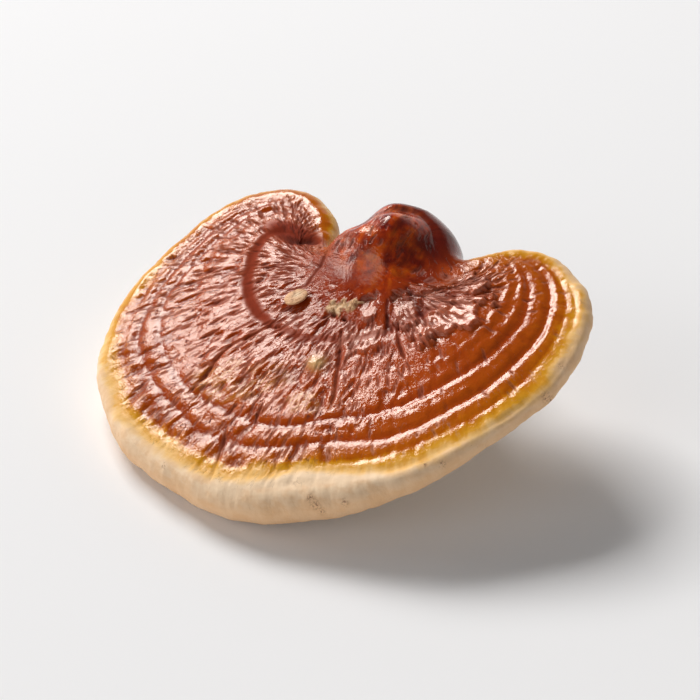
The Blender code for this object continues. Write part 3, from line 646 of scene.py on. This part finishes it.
# ---- colour order: 0 dark crown, 0.5 orange brown, 0.7 amber, 0.8 yellow, 0.92 cream, 1 pores
ragged = 0.9 * band_noise(U, S, 60, 8.0, 600) + 0.6 * band_noise(U, S, 150, 4.0, 601) + 0.35 * band_noise(U, S, 420, 3.0, 602)
amber_at = rib_place(round_table(TO_AMBER, U[0]))[None, :]
cream_at = rib_place(round_table(TO_CREAM, U[0]))[None, :] + 0.5 * band_noise(U, S, 34, 30.0, 603)
cream_at = np.maximum(cream_at, amber_at + 1.2)
run_up = along(((0.0, 5.0), (0.56, 5.0), (0.66, 8.0), (0.80, 8.0), (0.87, 5.0)))
early = amber_at - run_up
late = amber_at + along(((0.0, 0.35), (0.56, 0.35), (0.66, 0.6), (0.80, 0.6), (0.87, 0.35))) * (cream_at - amber_at)
place = S + ragged
tone = np.where(
    place < early,
    0.16 + 0.31 * np.clip(place / early, 0, 1) ** 1.3,
    np.where(
        place < amber_at,
        0.47 + 0.11 * ((place - early) / run_up),
        np.where(
            place < late,
            0.58 + 0.13 * (place - amber_at) / (late - amber_at),
            np.where(
                place < cream_at,
                0.71 + 0.09 * (place - late) / (cream_at - late),
                np.clip(0.80 + 0.12 * (place - cream_at) / 2.6, 0.80, 0.92),
            ),
        ),
    ),
)
tone = tone - 0.10 * (bell(groove_a, 1.4) + bell(groove_b, 1.5) + 0.5 * bell(groove_c, 0.9)) * front_cap * SKIN * (tone < 0.6)
tone = np.where(T > 2.0, tone + (1.0 - tone) * ease(2.3, 3.1, T), tone)
tone = tone - 0.04 * gaps * (tone < 0.62)
tone = tone - 0.20 * lobe_shade * (tone < 0.62)
ember = (1 - ease(11.5, 18.0, np.hypot(X - 2.5, Y - 34.0) + 1.6 * cloud(BASE, 5.0, 630))) * upper
ember = ember * (1 - ease(8.0, 13.0, X - 0.2 * (Y - 34)) * ease(33, 37, Y))
ember = ember * (0.74 + 0.5 * cloud(BASE * (1.0, 1.0, 0.5), 3.6, 620) + 0.3 * cloud(BASE, 1.6, 621))
ember = np.clip(ember, 0, 1) * (T < 1.3)
knob_dark = np.exp(-(np.hypot((X - 18.0) / 7.5, (Y - 41.0) / 5.0) ** 4)) * (T < 1.8)
tone = np.where(T < 1.6, tone - 0.10 * knob_dark * (tone < 0.6), tone)
tone = np.where(AWAY > 0, tone * (1 - AWAY) + 0.06 * AWAY, tone)
on_stem = ease(4.15, 4.75, T + 0.25 * band_noise(U, S, 30, 6.0, 610))
tone = tone * (1 - on_stem) + 0.10 * on_stem
tone = np.clip(tone, 0, 1)
gloss = (1 - ease(0.72, 0.82, tone)) * (1 - 0.85 * scar) * (1 - 0.12 * patch)
gloss = np.where(T > 4.6, 0.75, gloss)
pore_mask = ease(2.75, 3.1, T) * (1 - ease(4.1, 4.5, T)) * (1 - AWAY)


def set_float(mesh, name, values):
    layer = mesh.attributes.new(name, "FLOAT", "POINT")
    layer.data.foreach_set("value", np.ascontiguousarray(values, np.float32).ravel())


def set_vector(mesh, name, values):
    layer = mesh.attributes.new(name, "FLOAT_VECTOR", "POINT")
    layer.data.foreach_set("vector", np.ascontiguousarray(values, np.float32).ravel())


def body_mesh():
    tip_plane = np.array([[*CROWN, 0.0]])
    tip_plane[0, 2] = skin_height(tip_plane[:, :2], 0.0)[0]
    tip = placed(tip_plane) + (POINTS[0] - BASE[0]).mean(axis=0)
    foot_mid = np.array([[STEM[0], STEM[1], 0.0]])
    points = np.vstack([POINTS.reshape(-1, 3), tip, foot_mid]) * MM
    index = np.arange(ROWS * COLUMNS).reshape(ROWS, COLUMNS)
    a, b = index[:-1], index[1:]
    quads = np.stack([a, b, np.roll(b, -1, axis=1), np.roll(a, -1, axis=1)], axis=-1).reshape(-1, 4)
    first, last = index[0], index[-1]
    fans = np.vstack([
        np.column_stack([np.full(COLUMNS, ROWS * COLUMNS), first, np.roll(first, -1)]),
        np.column_stack([np.full(COLUMNS, ROWS * COLUMNS + 1), np.roll(last, -1), last]),
    ])
    mesh = bpy.data.meshes.new("fruiting_body_skin")
    mesh.vertices.add(len(points))
    mesh.vertices.foreach_set("co", points.astype(np.float32).ravel())
    loops = np.concatenate([quads.ravel(), fans.ravel()])
    starts = np.concatenate([np.arange(len(quads)) * 4, len(quads) * 4 + np.arange(len(fans)) * 3])
    mesh.loops.add(len(loops))
    mesh.loops.foreach_set("vertex_index", loops.astype(np.int32))
    mesh.polygons.add(len(starts))
    mesh.polygons.foreach_set("loop_start", starts.astype(np.int32))
    mesh.update(calc_edges=True)
    mesh.validate()

    def spread(values, tip_value, foot_value):
        return np.concatenate([values.ravel(), [tip_value, foot_value]])

    set_float(mesh, "tone", spread(tone, tone[0].mean(), 0.96))
    set_float(mesh, "dark", spread(dark, 0, 0))
    set_float(mesh, "gloss", spread(gloss, 1, 0))
    set_float(mesh, "wrinkled", spread(wrinkled, 0, 0))
    set_float(mesh, "scar", spread(scar, 0, 0))
    # darker colour in the growth grooves and between the plates, plus painted shade on the left lobe's inner side
    set_float(mesh, "groove_and_shade", spread(np.clip(np.maximum.reduce([in_groove, 0.8 * lobe_shade, 0.75 * gaps * (tone < 0.62)]), 0, 1), 0, 0))
    # dull: rougher and darker; painted shade in the crevice and on the left lobe's inner side, and the inner groove's
    # darker band
    set_float(mesh, "dull", spread(np.clip(np.maximum.reduce([crevice, lobe_shade, 0.95 * inner_band * (T > 0.3)]), 0, 1), 0, 0))
    set_float(mesh, "far", spread(ease(0.16, 0.42, T), 0, 1))
    set_float(mesh, "rim", spread(RIM * (tone > 0.8), 0, 0))
    set_float(mesh, "ochre", spread(np.maximum(0.8 * patch, 0.7 * ochre), 0, 0))
    set_float(mesh, "ember", spread(ember, 0, 0))
    set_float(mesh, "wine", spread(np.maximum(wine, knob_dark), 0, 0))
    # painted shade on the rim's outer face and underside
    set_float(mesh, "rim_shade", spread(rim_shade * (tone > 0.8), 0, 0))
    # painted highlight on the mound, the collar's crest and the flat plates
    set_float(mesh, "painted_highlight", spread(painted_highlight, 0, 0))
    set_float(mesh, "speckle", spread(speckle, 0, 0))
    set_float(mesh, "blister", spread(blister, 0, 0))
    set_float(mesh, "pores", spread(pore_mask, 0, 0))
    turn = 2 * np.pi * U
    rib = np.stack([48 * np.cos(turn), 48 * np.sin(turn), S], axis=-1).reshape(-1, 3)
    set_vector(mesh, "rib", np.vstack([rib, [[0, 0, 0], [0, 0, 200]]]))
    mesh.shade_smooth()
    return mesh


# ------------------------------------------------------------------ materials
def srgb(r, g, b):
    return tuple((c / 255 / 12.92 if c <= 10.3 else ((c / 255 + 0.055) / 1.055) ** 2.4) for c in (r, g, b)) + (1.0,)


class Nodes:
    """Short forms for a material's nodes."""

    def __init__(self, name):
        self.material = bpy.data.materials.new(name)
        self.material.use_nodes = True
        self.tree = self.material.node_tree
        self.shader = self.tree.nodes["Principled BSDF"]

    def add(self, kind, **inputs):
        node = self.tree.nodes.new(kind)
        for key, value in inputs.items():
            self.put(node.inputs[key.replace("_", " ")], value)
        return node

    def put(self, socket, value):
        if isinstance(value, bpy.types.NodeSocket):
            self.tree.links.new(value, socket)
        else:
            socket.default_value = value

    def attr(self, name, output="Fac"):
        node = self.tree.nodes.new("ShaderNodeAttribute")
        node.attribute_name = name
        return node.outputs[output]

    def math(self, operation, a, b=0.5, clamp=False):
        node = self.tree.nodes.new("ShaderNodeMath")
        node.operation, node.use_clamp = operation, clamp
        self.put(node.inputs[0], a)
        self.put(node.inputs[1], b)
        return node.outputs[0]

    def step(self, value, low, high, a=0.0, b=1.0):
        node = self.tree.nodes.new("ShaderNodeMapRange")
        node.interpolation_type = "SMOOTHSTEP"
        for key, number in (("From Min", low), ("From Max", high), ("To Min", a), ("To Max", b)):
            node.inputs[key].default_value = number
        self.put(node.inputs["Value"], value)
        return node.outputs["Result"]

    def noise(self, vector, scale=1.0, detail=2.0, rough=0.5, distortion=0.0):
        node = self.add("ShaderNodeTexNoise", Scale=scale, Detail=detail, Roughness=rough, Distortion=distortion)
        self.put(node.inputs["Vector"], vector)
        return node.outputs["Fac"]

    def scaled(self, vector, x, y, z):
        node = self.tree.nodes.new("ShaderNodeVectorMath")
        node.operation = "MULTIPLY"
        self.put(node.inputs[0], vector)
        node.inputs[1].default_value = (x, y, z)
        return node.outputs[0]

    def mix(self, factor, a, b, kind="MIX"):
        node = self.tree.nodes.new("ShaderNodeMix")
        node.data_type, node.blend_type = "RGBA", kind
        self.put(node.inputs["Factor"], factor)
        self.put(node.inputs["A"] if False else node.inputs[6], a)
        self.put(node.inputs[7], b)
        return node.outputs[2]

    def ramp(self, value, stops):
        node = self.tree.nodes.new("ShaderNodeValToRGB")
        band = node.color_ramp
        band.elements[0].position, band.elements[0].color = stops[0][0], stops[0][1]
        band.elements[1].position, band.elements[1].color = stops[-1][0], stops[-1][1]
        for place, colour in stops[1:-1]:
            band.elements.new(place).color = colour
        self.put(node.inputs["Fac"], value)
        return node.outputs["Color"]

    def bump(self, height, distance, strength=1.0, normal=None):
        node = self.add("ShaderNodeBump", Distance=distance)
        self.put(node.inputs["Strength"], strength)
        self.put(node.inputs["Height"], height)
        if normal is not None:
            self.put(node.inputs["Normal"], normal)
        return node.outputs["Normal"]


def skin_material():
    n = Nodes("reishi_skin")
    rib = n.attr("rib", "Vector")
    here = n.tree.nodes.new("ShaderNodeTexCoord").outputs["Object"]
    here = n.scaled(here, 1000, 1000, 1000)
    tone, dark, gloss = n.attr("tone"), n.attr("dark"), n.attr("gloss")
    wrinkled, scar, ochre = n.attr("wrinkled"), n.attr("scar"), n.attr("ochre")
    pores, blister = n.attr("pores"), n.attr("blister")

    far = n.attr("far")

    def outward(x, y, z, detail, rough, even):
        """Noise drawn out along the ribs, even near the crown where they meet."""
        drawn = n.noise(n.scaled(rib, x, y, z), 1.0, detail, rough)
        plain = n.noise(here, even, detail, rough)
        return n.math("ADD", n.math("MULTIPLY", drawn, far), n.math("MULTIPLY", plain, n.math("SUBTRACT", 1.0, far)))

    flakes = outward(0.9, 0.9, 0.22, 3.0, 0.62, 0.6)
    streak = outward(0.45, 0.45, 0.06, 3.0, 0.6, 0.3)
    grain = n.noise(here, 1.6, 3.0, 0.6)
    clouds = n.noise(here, 0.16, 3.0, 0.55)
    # hair cracks: thin lines where a drawn-out noise crosses its middle, broken up
    wander = n.noise(n.scaled(rib, 0.42, 0.42, 0.12), 1.0, 3.0, 0.65)
    line = n.math("ABSOLUTE", n.math("SUBTRACT", wander, 0.5))
    line = n.step(line, 0.004, 0.020, 1.0, 0.0)
    broken = n.step(n.noise(n.scaled(rib, 0.5, 0.5, 0.30), 1.0, 2.0, 0.5), 0.48, 0.60)
    hair = n.math("MULTIPLY", n.math("MULTIPLY", n.math("MULTIPLY", line, broken), wrinkled), far)

    shifted = n.math("ADD", tone, n.math("MULTIPLY", n.math("SUBTRACT", flakes, 0.5), 0.10))
    shifted = n.math("ADD", shifted, n.math("MULTIPLY", n.math("SUBTRACT", streak, 0.5), 0.12))
    shifted = n.math("ADD", shifted, n.math("MULTIPLY", n.math("SUBTRACT", clouds, 0.5), 0.10))
    fixed = n.step(tone, 0.80, 0.90)
    shifted = n.math("ADD", n.math("MULTIPLY", shifted, n.math("SUBTRACT", 1.0, fixed)), n.math("MULTIPLY", tone, fixed))
    colour = n.ramp(shifted, (
        (0.00, srgb(60, 14, 12)), (0.14, srgb(132, 38, 12)), (0.32, srgb(172, 66, 12)),
        (0.48, srgb(176, 78, 5)), (0.57, srgb(190, 98, 3)), (0.66, srgb(206, 130, 10)),
        (0.75, srgb(220, 156, 40)), (0.81, srgb(236, 186, 108)), (0.87, srgb(240, 200, 146)),
        (0.93, srgb(242, 214, 182)), (1.0, srgb(224, 196, 160)),
    ))
    blush = n.step(n.noise(n.scaled(here, 0.16, 0.16, 0.30), 1.0, 3.0, 0.6), 0.42, 0.64)
    colour = n.mix(n.math("MULTIPLY", n.math("MULTIPLY", blush, n.attr("rim")), 0.65), colour, srgb(230, 188, 144))
    weave = n.step(n.noise(n.scaled(rib, 0.8, 0.8, 0.22), 1.0, 3.0, 0.65), 0.42, 0.66, 0.0, 0.18)
    colour = n.mix(n.math("MULTIPLY", weave, n.attr("rim")), colour, srgb(206, 160, 116))
    # painted shade: darker tan on the rim's outer face and underside
    colour = n.mix(n.math("MULTIPLY", n.attr("rim_shade"), 0.62), colour, srgb(226, 176, 126))
    fleck = n.math("MULTIPLY", n.attr("speckle"), n.step(n.noise(here, 1.7, 3.0, 0.6), 0.46, 0.58))
    colour = n.mix(n.math("MULTIPLY", fleck, 0.85), colour, srgb(118, 58, 36))
    colour = n.mix(n.math("MULTIPLY", ochre, n.step(flakes, 0.35, 0.6)), colour, srgb(186, 112, 34))
    # darker growth grooves and plate gaps, plus painted shade on the left lobe's inner side
    colour = n.mix(n.math("MULTIPLY", n.attr("groove_and_shade"), 0.70), colour, srgb(128, 38, 1))
    # painted shade in the crevice and on the left lobe's inner side, and the inner groove's darker band
    colour = n.mix(n.math("MULTIPLY", n.attr("dull"), 0.6), colour, srgb(122, 30, 0))
    # painted highlight: pale pink streaked patches standing in for reflections
    painted_highlight = n.math("MULTIPLY", n.attr("painted_highlight"), n.step(streak, 0.36, 0.56, 0.35, 1.0))
    colour = n.mix(painted_highlight, colour, srgb(204, 138, 116))
    embers = n.math("MULTIPLY", n.attr("ember"), n.step(streak, 0.34, 0.60, 0.45, 0.95))
    colour = n.mix(embers, colour, n.ramp(n.noise(here, 0.24, 3.0, 0.5, 0.5), (
        (0.34, srgb(120, 16, 6)), (0.50, srgb(196, 66, 6)), (0.68, srgb(226, 104, 16)))))
    colour = n.mix(n.math("MULTIPLY", n.attr("wine"), 0.7), colour, srgb(84, 14, 12))
    colour = n.mix(n.math("MULTIPLY", blister, 0.75), colour, srgb(226, 190, 130))
    crust = n.ramp(n.noise(here, 0.8, 3.0, 0.6), ((0.36, srgb(132, 80, 46)), (0.5, srgb(204, 158, 112)), (0.66, srgb(230, 196, 158))))
    colour = n.mix(scar, colour, crust)
    speck = n.math("MULTIPLY", n.step(n.noise(here, 0.9, 4.0, 0.75), 0.66, 0.74), n.step(tone, 0.84, 0.92))
    speck = n.math("MULTIPLY", speck, n.step(n.noise(here, 0.07, 1.0, 0.5), 0.52, 0.62))
    colour = n.mix(n.math("MULTIPLY", speck, 0.65), colour, srgb(134, 84, 54))
    # painted shade: darker in the hair cracks and in the sunk places of the dark mask
    shade = n.math("MULTIPLY", n.math("SUBTRACT", 1.0, n.math("MULTIPLY", hair, 0.75)),
                   n.math("SUBTRACT", 1.0, n.math("MULTIPLY", dark, 0.80)))
    shade = n.math("MULTIPLY", n.math("SUBTRACT", 1.0, shade), n.step(tone, 0.60, 0.78, 1.0, 0.35))
    colour = n.mix(shade, colour, srgb(72, 18, 6))
    # pores of the underside
    cell = n.add("ShaderNodeTexVoronoi", Scale=2.6)
    n.put(cell.inputs["Vector"], here)
    pit = n.step(cell.outputs["Distance"], 0.10, 0.34, 1.0, 0.0)
    colour = n.mix(n.math("MULTIPLY", n.math("MULTIPLY", pit, pores), 0.55), colour, srgb(150, 118, 84))
    n.put(n.shader.inputs["Base Color"], colour)

    rough = n.math("ADD", 0.075, n.math("MULTIPLY", flakes, 0.13))
    rough = n.math("ADD", rough, n.math("MULTIPLY", n.math("MAXIMUM", hair, dark), 1.3), True)
    rough = n.math("ADD", rough, n.math("MULTIPLY", n.attr("dull"), 1.0), True)
    dull = n.math("SUBTRACT", 1.0, gloss)
    rough = n.math("ADD", n.math("MULTIPLY", rough, gloss), n.math("MULTIPLY", dull, 0.78), True)
    n.put(n.shader.inputs["Roughness"], n.math("MAXIMUM", rough, n.attr("dull")))
    n.shader.inputs["Specular IOR Level"].default_value = 0.5
    n.shader.inputs["Specular Tint"].default_value = (1.0, 0.90, 0.80, 1.0)

    fine = n.noise(here, 0.9, 3.0, 0.62, 0.4)
    ridge = n.math("ABSOLUTE", n.math("SUBTRACT", n.noise(n.scaled(rib, 0.6, 0.6, 0.28), 1.0, 2.0, 0.5), 0.5))
    height = n.math("ADD", n.math("MULTIPLY", fine, 1.2), n.math("MULTIPLY", ridge, -1.2))
    height = n.math("SUBTRACT", height, n.math("MULTIPLY", hair, 0.3))
    normal = n.bump(height, 0.00020, n.math("ADD", n.math("MULTIPLY", wrinkled, 0.55), 0.06))
    soft = n.math("ADD", n.noise(here, 0.55, 3.0, 0.6), n.math("MULTIPLY", n.noise(here, 1.3, 2.0, 0.6), 0.5))
    normal = n.bump(soft, 0.00016, 0.75, normal)
    cross = n.noise(n.scaled(rib, 1.1, 1.1, 0.30), 1.0, 3.0, 0.65)
    normal = n.bump(cross, 0.00035, n.math("MULTIPLY", n.attr("rim"), 0.4), normal)
    normal = n.bump(n.math("MULTIPLY", pit, -1.0), 0.00020, n.math("MULTIPLY", pores, 0.9), normal)
    n.put(n.shader.inputs["Normal"], normal)
    return n.material


def chip_material():
    n = Nodes("dry_chip")
    here = n.tree.nodes.new("ShaderNodeTexCoord").outputs["Object"]
    here = n.scaled(here, 1000, 1000, 1000)
    grain = n.noise(n.scaled(here, 0.7, 3.2, 3.2), 1.0, 4.0, 0.65)
    blot = n.noise(here, 0.5, 2.0, 0.5)
    pale = n.attr("pale")
    colour = n.ramp(grain, ((0.30, srgb(178, 114, 74)), (0.5, srgb(228, 174, 126)), (0.7, srgb(242, 202, 160))))
    colour = n.mix(n.math("MULTIPLY", pale, 0.8), colour, srgb(240, 212, 176))
    colour = n.mix(n.step(blot, 0.56, 0.68, 0.0, 0.5), colour, srgb(128, 76, 38))
    # painted shade: darker round the chip's foot, where it sits on the cap
    colour = n.mix(n.attr("edge"), colour, srgb(116, 62, 30))
    n.put(n.shader.inputs["Base Color"], colour)
    n.put(n.shader.inputs["Roughness"], n.step(grain, 0.3, 0.7, 0.55, 0.8))
    n.put(n.shader.inputs["Normal"], n.bump(grain, 0.00018, 0.8))
    return n.material


def plain_material(name, colour, roughness):
    n = Nodes(name)
    here = n.tree.nodes.new("ShaderNodeTexCoord").outputs["Object"]
    tint = n.noise(here, 3.0, 2.0, 0.5)
    n.put(n.shader.inputs["Base Color"], n.mix(n.step(tint, 0.3, 0.7, 0.0, 0.03), colour, srgb(225, 225, 226)))
    n.shader.inputs["Roughness"].default_value = roughness
    n.shader.inputs["Specular IOR Level"].default_value = 0.2
    return n.material


# --------------------------------------------------------------------- pieces
body = bpy.data.objects.new("reishi_body", body_mesh())
bpy.context.scene.collection.objects.link(body)
body.data.materials.append(skin_material())
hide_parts("fruiting_body")
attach(body, "root")


def chip_object():
    """The loose chip: an oval flake, paler on top, with painted shade round its foot and a split near one end."""
    columns, rows = 72, 36
    theta = np.linspace(0, 2 * np.pi, columns, endpoint=False)[None, :]
    phi = (np.pi * np.arange(1, rows) / rows)[:, None]
    x = 0.5 * np.sin(phi) * np.cos(theta)
    y = 0.5 * np.sin(phi) * np.sin(theta)
    z = 0.5 * np.cos(phi) + 0 * theta
    square = np.sign(z) * np.abs(2 * z) ** 0.7 / 2
    x = x + 0.10 * y * y - 0.02
    y = y * (1.0 - 0.22 * x)
    points = np.stack([x * CHIP_LENGTH, y * CHIP_WIDTH, (square + 0.5) / 2 * CHIP_HEIGHT], axis=-1)
    away = points - (0, 0, 0.45)
    away /= np.linalg.norm(away, axis=-1)[..., None]
    bulge = 0.16 * cloud(points, 1.7, 700) + 0.07 * cloud(points, 0.7, 701) + 0.05 * np.sin(points[..., 1] * 7.0)
    split = np.exp(-(((points[..., 1] - 0.25 * points[..., 0] + 0.5) / 0.16) ** 2)) * ease(0.6, 2.2, points[..., 0])
    points = points + away * (bulge - 0.30 * split)[..., None]
    points[..., 2] = np.maximum(points[..., 2], 0.0)
    pale = bell(np.hypot(points[..., 0] - 0.4, points[..., 1] * 1.3), 1.5) * (points[..., 2] > 0.5)
    # edge: painted shade, darker towards the chip's foot
    edge = np.clip(1 - (points[..., 2]) / 0.45, 0, 1)
    ends = np.array([[-0.02 * CHIP_LENGTH, 0, 0.78 * CHIP_HEIGHT], [-0.02 * CHIP_LENGTH, 0, 0.0]])
    ends[0, 2] = points[0, :, 2].mean()
    ends[1, 2] = points[-1, :, 2].mean()
    index = np.arange((rows - 1) * columns).reshape(rows - 1, columns)
    a, b = index[:-1], index[1:]
    quads = np.stack([a, b, np.roll(b, -1, axis=1), np.roll(a, -1, axis=1)], axis=-1).reshape(-1, 4).tolist()
    top, bottom = (rows - 1) * columns, (rows - 1) * columns + 1
    quads += [(top, index[0][i], index[0][(i + 1) % columns]) for i in range(columns)]
    quads += [(bottom, index[-1][(i + 1) % columns], index[-1][i]) for i in range(columns)]
    mesh = bpy.data.meshes.new("chip")
    flat = np.vstack([points.reshape(-1, 3), ends])
    here = np.array([CHIP_AT])
    growth, step = np.array([0.26]), 2.0
    level = skin_height(here, growth)[0]
    rise_x = (skin_height(here + (step, 0), growth)[0] - level) / step
    rise_y = (skin_height(here + (0, step), growth)[0] - level) / step
    up = Vector((-rise_x, -rise_y, 1)).normalized()
    bearing = math.radians(CHIP_BEARING)
    run = Vector((math.cos(bearing), math.sin(bearing), 0))
    run = (run - up * run.dot(up)).normalized()
    turn = Matrix((run, up.cross(run), up)).transposed()
    seat = np.array([CHIP_AT[0], CHIP_AT[1], level + GAP])
    world = placed(flat @ np.array(turn).T + seat) * MM
    mesh.from_pydata(world.tolist(), [], quads)
    mesh.update()
    set_float(mesh, "pale", np.concatenate([pale.ravel(), [1, 0]]))
    set_float(mesh, "edge", np.concatenate([edge.ravel(), [0, 1]]))
    mesh.shade_smooth()
    obj = bpy.data.objects.new("chip_on_cap", mesh)
    bpy.context.scene.collection.objects.link(obj)
    mesh.materials.append(chip_material())
    return obj


chip = chip_object()
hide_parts("wood_chip")
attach(chip, "root")

# ---------------------------------------------------------------------- stage
floor_mesh = bpy.data.meshes.new("floor")
floor_mesh.from_pydata([(-6, -6, -0.00004), (6, -6, -0.00004), (6, 6, -0.00004), (-6, 6, -0.00004)], [], [(0, 1, 2, 3)])
floor = bpy.data.objects.new("floor", floor_mesh)
bpy.context.scene.collection.objects.link(floor)
floor.data.materials.append(plain_material("studio_floor", srgb(243, 243, 244), 0.9))


def direction(azimuth, elevation):
    a, e = math.radians(azimuth), math.radians(elevation)
    return Vector((math.cos(a) * math.cos(e), math.sin(a) * math.cos(e), math.sin(e)))


def softbox(name, azimuth, elevation, distance, width, height, radiance, colour=(1, 1, 1)):
    light = bpy.data.lights.new(name, "AREA")
    light.shape = "RECTANGLE"
    light.size, light.size_y = width, height
    light.energy = radiance * math.pi * width * height
    light.color = colour
    lamp = bpy.data.objects.new(name, light)
    away = direction(azimuth, elevation)
    lamp.location = Vector((0.0, 0.0, 0.02)) + away * distance
    lamp.rotation_euler = away.to_track_quat("Z", "Y").to_euler()
    bpy.context.scene.collection.objects.link(lamp)
    return lamp


softbox("key", 155.5, 43, 4.6, 2.6, 1.5, 17.2, (1.0, 0.985, 0.97))
softbox("side", 200, 14, 2.6, 1.0, 0.7, 6.0)
softbox("fill", 250, 30, 3.2, 1.8, 1.2, 1.7, (1.0, 0.985, 0.96))
world = bpy.data.worlds.new("studio")
world.use_nodes = True
sky = world.node_tree
along_view = sky.nodes.new("ShaderNodeTexCoord").outputs["Generated"]
parts = sky.nodes.new("ShaderNodeSeparateXYZ")
sky.links.new(along_view, parts.inputs[0])
glow = sky.nodes.new("ShaderNodeValToRGB")
glow.color_ramp.interpolation = "EASE"
glow.color_ramp.elements[0].position, glow.color_ramp.elements[0].color = 0.30, (0.78, 0.78, 0.78, 1)
glow.color_ramp.elements[1].position, glow.color_ramp.elements[1].color = 0.62, (0.09, 0.09, 0.092, 1)
sky.links.new(parts.outputs["Z"], glow.inputs["Fac"])
sky.links.new(glow.outputs["Color"], sky.nodes["Background"].inputs["Color"])
sky.nodes["Background"].inputs["Strength"].default_value = 0.9
bpy.context.scene.world = world
bpy.context.scene.view_settings.view_transform = "Standard"
bpy.context.scene.view_settings.look = "None"

# --------------------------------------------------------------------- camera
AZIMUTH, ELEVATION, DISTANCE = math.radians(35.5), math.radians(36.0), 0.510
forward = Vector((-math.sin(AZIMUTH) * math.cos(ELEVATION), math.cos(AZIMUTH) * math.cos(ELEVATION), -math.sin(ELEVATION)))
camera_data = bpy.data.cameras.new("camera")
camera_data.lens, camera_data.sensor_width = 90.0, 36.0
camera_data.clip_start, camera_data.clip_end = 0.01, 50.0
camera = bpy.data.objects.new("camera", camera_data)
camera.location = Vector((8.86, 3.87, 27.59)) * MM - forward * DISTANCE
camera.rotation_euler = forward.to_track_quat("-Z", "Y").to_euler()
bpy.context.scene.collection.objects.link(camera)
bpy.context.scene.camera = camera
